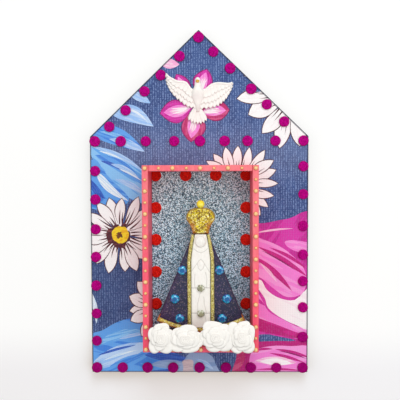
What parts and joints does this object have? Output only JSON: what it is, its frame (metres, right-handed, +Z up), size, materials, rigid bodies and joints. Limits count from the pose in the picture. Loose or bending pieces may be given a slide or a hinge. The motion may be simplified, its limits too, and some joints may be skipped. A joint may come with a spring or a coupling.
{
  "type": "wall shrine",
  "caption": "House-shaped wooden wall shrine: fabric-covered board with felt dots, an open box niche that holds a crowned flat figure, roses along its edge and a cast dove above.",
  "frame": {"origin": "on the board's back face, on its middle line, 160 mm above its lower edge: the point that lies on the wall", "axes": "+Z up, +Y from the back face into the wall, front faces -Y, +X to the viewer's right"},
  "size_m": [0.218, 0.0683, 0.3429],
  "materials": {
    "board_wood": "raw back, dark painted edges",
    "printed_fabric": "printed cotton twill",
    "magenta_felt": "felt",
    "red_felt": "felt",
    "pink_paint": "painted, satin",
    "panel_wood": "raw",
    "glitter_sheet": "glitter foam sheet",
    "pearl": "pearl lacquer",
    "gold_paint": "gold glitter paint",
    "navy_paint": "matt paint with fine glitter",
    "white_paint": "matt paint",
    "yellow_glass": "clear yellow, polished",
    "blue_stone": "cut acrylic",
    "clear_stone": "cut acrylic",
    "white_resin": "cast resin",
    "white_petal": "soft matt",
    "hanger_metal": "stamped"
  },
  "bodies": {
    "shrine": {"back_board": "board_wood", "fabric_cover": "printed_fabric", "dots_roof_left": "magenta_felt", "dots_roof_right": "magenta_felt", "dots_eave": "magenta_felt", "dots_side_left": "magenta_felt", "dots_side_right": "magenta_felt", "dots_base": "magenta_felt", "niche_left_wall": "pink_paint", "niche_right_wall": "pink_paint", "niche_top_wall": "pink_paint", "niche_bottom_wall": "pink_paint", "niche_back_panel": "panel_wood", "glitter_backing": "glitter_sheet", "niche_dot_01": "red_felt", "niche_dot_02": "red_felt", "niche_dot_03": "red_felt", "niche_dot_04": "red_felt", "niche_dot_05": "red_felt", "niche_dot_06": "red_felt", "niche_dot_07": "red_felt", "niche_dot_08": "red_felt", "niche_dot_09": "red_felt", "niche_dot_10": "red_felt", "niche_dot_11": "red_felt", "niche_dot_12": "red_felt", "pearls_left": "pearl", "pearls_right": "pearl", "pearls_top": "pearl", "pearls_bottom": "pearl", "figure_back_plate": "gold_paint", "figure_foot": "panel_wood", "mantle": "navy_paint", "robe_lower": "white_paint", "robe_middle": "white_paint", "robe_upper": "white_paint", "braid_left": "gold_paint", "braid_right": "gold_paint", "hem_trim": "gold_paint", "head": "white_paint", "crown": "gold_paint", "crown_bead": "yellow_glass", "crown_pin": "hanger_metal", "mantle_stone_left_1": "blue_stone", "mantle_stone_left_2": "blue_stone", "mantle_stone_left_3": "blue_stone", "mantle_stone_right_1": "blue_stone", "mantle_stone_right_2": "blue_stone", "mantle_stone_right_3": "blue_stone", "robe_stone_1": "clear_stone", "robe_stone_2": "clear_stone", "rose_1": "white_petal", "rose_2": "white_petal", "rose_3": "white_petal", "rose_4": "white_petal", "dove": "white_resin", "hanger_strap": "hanger_metal", "hanger_screw_1": "hanger_metal", "hanger_screw_2": "hanger_metal"},
    "ring": {"hanger_ring": "hanger_metal"}
  },
  "joints": [
    {"name": "ring_swing", "type": "hinge", "parent": "shrine", "child": "ring", "pos_m": [0, -0.0026, 0.136], "axis": [-1, 0, 0], "range_deg": [0, 160]}
  ]
}
